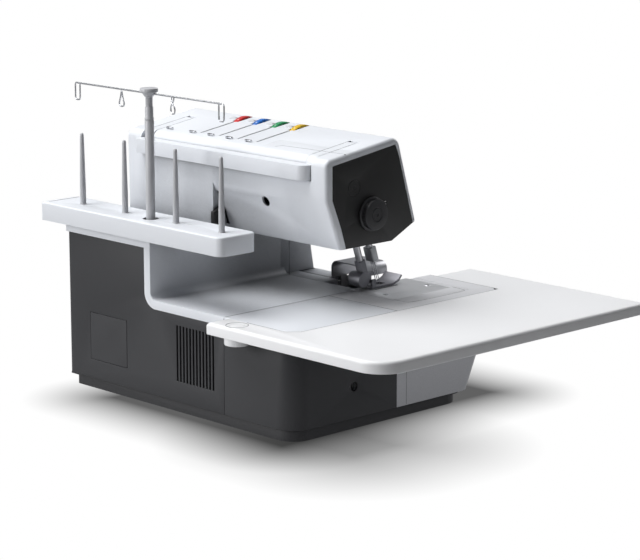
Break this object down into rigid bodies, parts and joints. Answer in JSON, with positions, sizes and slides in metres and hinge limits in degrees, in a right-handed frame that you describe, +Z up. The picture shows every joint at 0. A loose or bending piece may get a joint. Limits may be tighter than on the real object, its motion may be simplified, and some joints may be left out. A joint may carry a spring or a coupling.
{
  "type": "coverstitch sewing machine",
  "caption": "Sewing machine with an overhanging arm, colour-coded tension dials, folded carry handle, telescopic thread stand and a flat slide-on extension table.",
  "frame": {"origin": "centre of the bounding box at the bottom of the rubber feet", "axes": "+X to the handwheel end, +Y to the thread stand at the rear, +Z up"},
  "size_m": [0.57, 0.412, 0.3568],
  "materials": {
    "white_cover": "satin moulded",
    "white_table": "satin moulded",
    "grey_cover": "satin moulded",
    "dark_cover": "fine texture",
    "plinth": "fine texture",
    "black_plate": "satin moulded",
    "knob": "satin moulded",
    "stand_grey": "satin moulded",
    "steel": "polished",
    "sheet_metal": "satin",
    "casting": "cast",
    "rubber": "matte",
    "belt": "matte",
    "lens": "clear",
    "red_dial": "moulded",
    "blue_dial": "moulded",
    "green_dial": "moulded",
    "yellow_dial": "moulded",
    "black_plastic": "moulded",
    "board": "coated",
    "motor_can": "satin",
    "wheel": "satin moulded"
  },
  "bodies": {
    "machine": {"rubber_feet": "rubber", "base_pan": "plinth", "main_frame": "casting", "rear_cover": "dark_cover", "service_door": "dark_cover", "left_cover": "dark_cover", "bed_cover": "white_cover", "left_bed_cover": "white_cover", "front_left_cover": "grey_cover", "front_cover": "white_cover", "needle_plate": "steel", "plate_screws": "steel", "finger_guard": "sheet_metal", "arm_front_cover": "white_cover", "arm_rear_cover": "white_cover", "end_plate": "black_plate", "end_plate_cap": "black_plate", "led_lens": "lens", "top_thread_guides": "steel", "tension_units": "steel", "handle_pins": "steel", "stand_tray": "white_cover", "stand_bracket": "sheet_metal", "spool_pins": "stand_grey", "mast_outer_tube": "stand_grey", "drive_belt": "belt", "timing_belt": "belt", "motor": "motor_can", "control_board": "board", "power_inlet": "black_plastic"},
    "looper_door": {"looper_cover": "white_cover"},
    "handle": {"carry_handle": "white_cover"},
    "knob": {"pressure_knob": "knob"},
    "dial_red": {"tension_dial_red": "red_dial"},
    "dial_blue": {"tension_dial_blue": "blue_dial"},
    "dial_green": {"tension_dial_green": "green_dial"},
    "dial_yellow": {"tension_dial_yellow": "yellow_dial"},
    "mast_middle": {"mast_middle_tube": "steel"},
    "mast_top": {"mast_top_rod": "stand_grey", "thread_guide_bar": "steel"},
    "table": {"extension_table": "white_table", "table_catch": "white_cover"},
    "main_drive": {"main_shaft": "steel", "shaft_pulleys": "black_plastic", "handwheel": "wheel"},
    "motor_rotor": {"motor_shaft": "steel"},
    "arm_drive": {"arm_shaft": "steel"},
    "needle_group": {"needle_bar": "steel", "needle_bar_block": "steel", "needle_clamp": "steel", "needles": "steel"},
    "presser_group": {"presser_bar": "steel", "foot_holder": "steel"},
    "sole": {"presser_foot": "steel"},
    "lifter": {"foot_lifter": "sheet_metal"},
    "looper_arm": {"looper": "steel"},
    "feed": {"feed_dog": "steel"},
    "rocker": {"power_switch": "black_plastic"},
    "length_dial": {"stitch_length_dial": "black_plastic"},
    "differential_dial": {"differential_feed_dial": "black_plastic"}
  },
  "joints": [
    {"name": "looper_door_hinge", "type": "hinge", "parent": "machine", "child": "looper_door", "pos_m": [0.085, -0.097, 0.017], "axis": [1, 0, 0], "range_deg": [0, 60]},
    {"name": "handle_pivot", "type": "hinge", "parent": "machine", "child": "handle", "pos_m": [0.0805, 0.02, 0.29493], "axis": [1, 0, 0], "range_deg": [0, 95]},
    {"name": "knob_turn", "type": "hinge", "parent": "machine", "child": "knob", "pos_m": [-0.084, 0.0199, 0.2254], "axis": [1, 0, 0], "range_deg": [-360, 360]},
    {"name": "tension_red_turn", "type": "hinge", "parent": "machine", "child": "dial_red", "pos_m": [0.1464, -0.006, 0.2802], "axis": [1, 0, 0], "range_deg": [-150, 150]},
    {"name": "tension_blue_turn", "type": "hinge", "parent": "machine", "child": "dial_blue", "pos_m": [0.115, -0.006, 0.2802], "axis": [1, 0, 0], "range_deg": [-150, 150]},
    {"name": "tension_green_turn", "type": "hinge", "parent": "machine", "child": "dial_green", "pos_m": [0.0836, -0.006, 0.2802], "axis": [1, 0, 0], "range_deg": [-150, 150]},
    {"name": "tension_yellow_turn", "type": "hinge", "parent": "machine", "child": "dial_yellow", "pos_m": [0.0522, -0.006, 0.2802], "axis": [1, 0, 0], "range_deg": [-150, 150]},
    {"name": "mast_middle_slide", "type": "slide", "parent": "machine", "child": "mast_middle", "axis": [0, 0, 1], "range_m": [0, 0.1]},
    {"name": "mast_top_slide", "type": "slide", "parent": "mast_middle", "child": "mast_top", "axis": [0, 0, 1], "range_m": [0, 0.1]},
    {"name": "table_slide", "type": "slide", "parent": "machine", "child": "table", "axis": [-1, 0, 0], "range_m": [0, 0.2]},
    {"name": "main_shaft_turn", "type": "hinge", "parent": "machine", "child": "main_drive", "pos_m": [0.2, 0.04, 0.09], "axis": [1, 0, 0], "continuous": true},
    {"name": "motor_turn", "type": "hinge", "parent": "machine", "child": "motor_rotor", "pos_m": [0.2, 0.115, 0.06], "axis": [1, 0, 0], "continuous": true},
    {"name": "arm_shaft_turn", "type": "hinge", "parent": "machine", "child": "arm_drive", "pos_m": [0.1, 0.015, 0.24], "axis": [1, 0, 0], "continuous": true},
    {"name": "needle_bar_stroke", "type": "slide", "parent": "machine", "child": "needle_group", "axis": [0, 0.309, 0.9511], "range_m": [-0.014, 0.012]},
    {"name": "lifter_turn", "type": "hinge", "parent": "machine", "child": "lifter", "pos_m": [0.05, 0.04, 0.225], "axis": [1, 0, 0], "range_deg": [0, 25]},
    {"name": "presser_bar_lift", "type": "slide", "parent": "machine", "child": "presser_group", "axis": [0, 0.309, 0.9511], "range_m": [0, 0.0065]},
    {"name": "sole_tilt", "type": "hinge", "parent": "presser_group", "child": "sole", "pos_m": [-0.016, -0.042, 0.1317], "axis": [-1, 0, 0], "range_deg": [0, 6]},
    {"name": "looper_swing", "type": "hinge", "parent": "machine", "child": "looper_arm", "pos_m": [0.025, -0.035, 0.07], "axis": [0, 1, 0], "range_deg": [-8, 8]},
    {"name": "feed_travel", "type": "slide", "parent": "machine", "child": "feed", "axis": [0, 1, 0], "range_m": [-0.002, 0.002]},
    {"name": "switch_rock", "type": "hinge", "parent": "machine", "child": "rocker", "pos_m": [0.249, 0.156, 0.04], "axis": [0, 1, 0], "range_deg": [0, 10]},
    {"name": "length_dial_turn", "type": "hinge", "parent": "machine", "child": "length_dial", "pos_m": [0.252, -0.036, 0.06], "axis": [1, 0, 0], "range_deg": [0, 270]},
    {"name": "differential_dial_turn", "type": "hinge", "parent": "machine", "child": "differential_dial", "pos_m": [0.252, -0.036, 0.098], "axis": [1, 0, 0], "range_deg": [0, 270]}
  ],
  "couplings": [
    {"joint": "motor_turn", "follows": "main_shaft_turn", "ratio": 3},
    {"joint": "arm_shaft_turn", "follows": "main_shaft_turn", "ratio": 1},
    {"joint": "presser_bar_lift", "follows": "lifter_turn", "m_per_rad": 0.014897}
  ]
}
